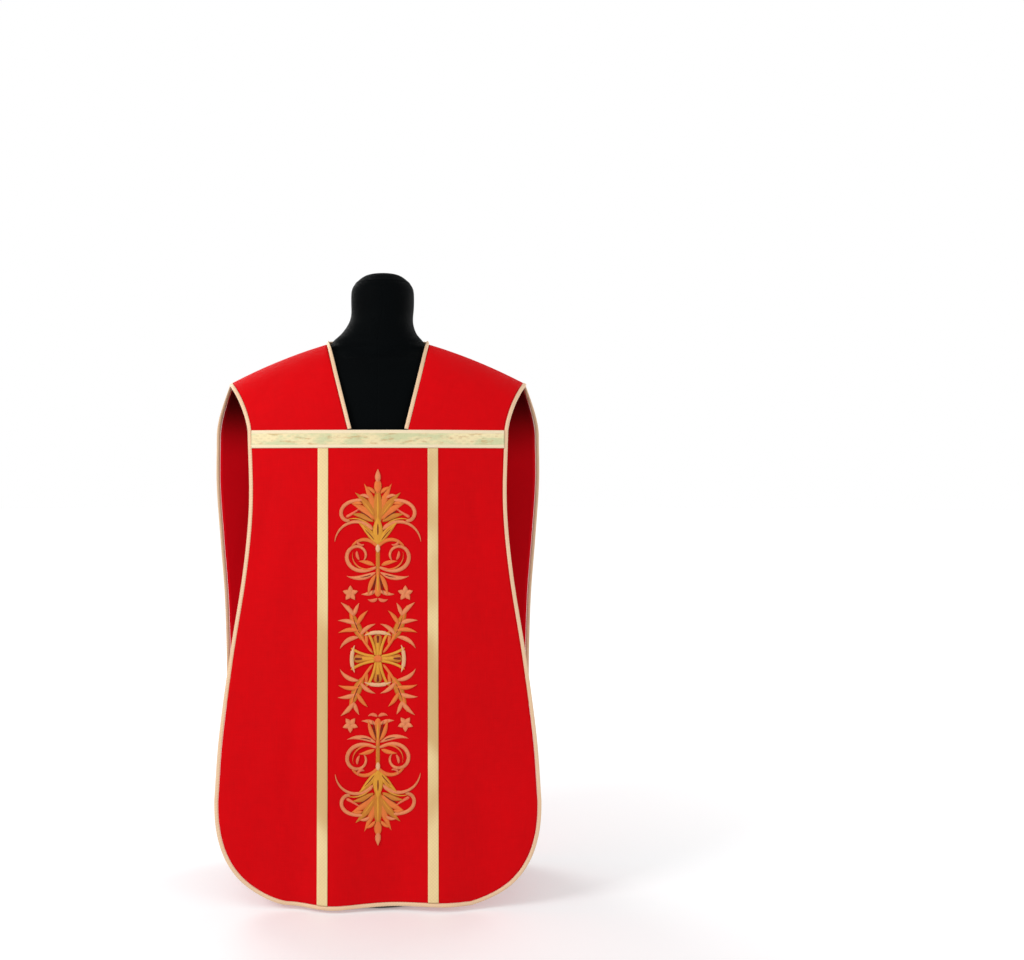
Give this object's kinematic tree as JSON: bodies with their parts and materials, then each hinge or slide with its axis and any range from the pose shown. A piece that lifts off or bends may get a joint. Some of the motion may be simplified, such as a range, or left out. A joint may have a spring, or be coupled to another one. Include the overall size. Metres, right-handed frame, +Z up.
{
  "type": "fiddleback chasuble on dress form",
  "caption": "Red open-sided liturgical vestment with gold galloon, worn by a black limbless dress form with a neck on a short pole and a round base.",
  "frame": {"origin": "centre of the underside of the form's round base, on the surface that it stands on", "axes": "+Z up; the garment's front faces -Y; +X is to the right of someone who looks at the front"},
  "size_m": [0.646, 0.3174, 1.154],
  "materials": {
    "red_cloth": "fine plain-woven wool-like cloth, matte with a faint sheen",
    "red_lining": "smooth satin lining, soft gloss",
    "gold_galloon": "woven metallic ribbon, pale gold, satin gloss",
    "gold_braid": "narrow metallic braid, pale rose gold",
    "gold_thread": "satin-stitch metallic thread, golden to orange",
    "form_cover": "matte black jersey cover",
    "steel": "brushed tube",
    "base_paint": "satin black powder coat"
  },
  "bodies": {
    "root": {"front_panel": "red_cloth", "yoke_left": "red_cloth", "yoke_right": "red_cloth", "back_panel": "red_cloth", "back_lining": "red_lining", "chest_band": "gold_galloon", "front_galloon_left": "gold_galloon", "front_galloon_right": "gold_galloon", "cross_galloon": "gold_galloon", "front_edge_braid": "gold_braid", "back_edge_braid": "gold_braid", "neck_braid": "gold_braid", "form_torso": "form_cover", "form_pole": "steel", "form_base": "base_paint"}
  },
  "joints": []
}
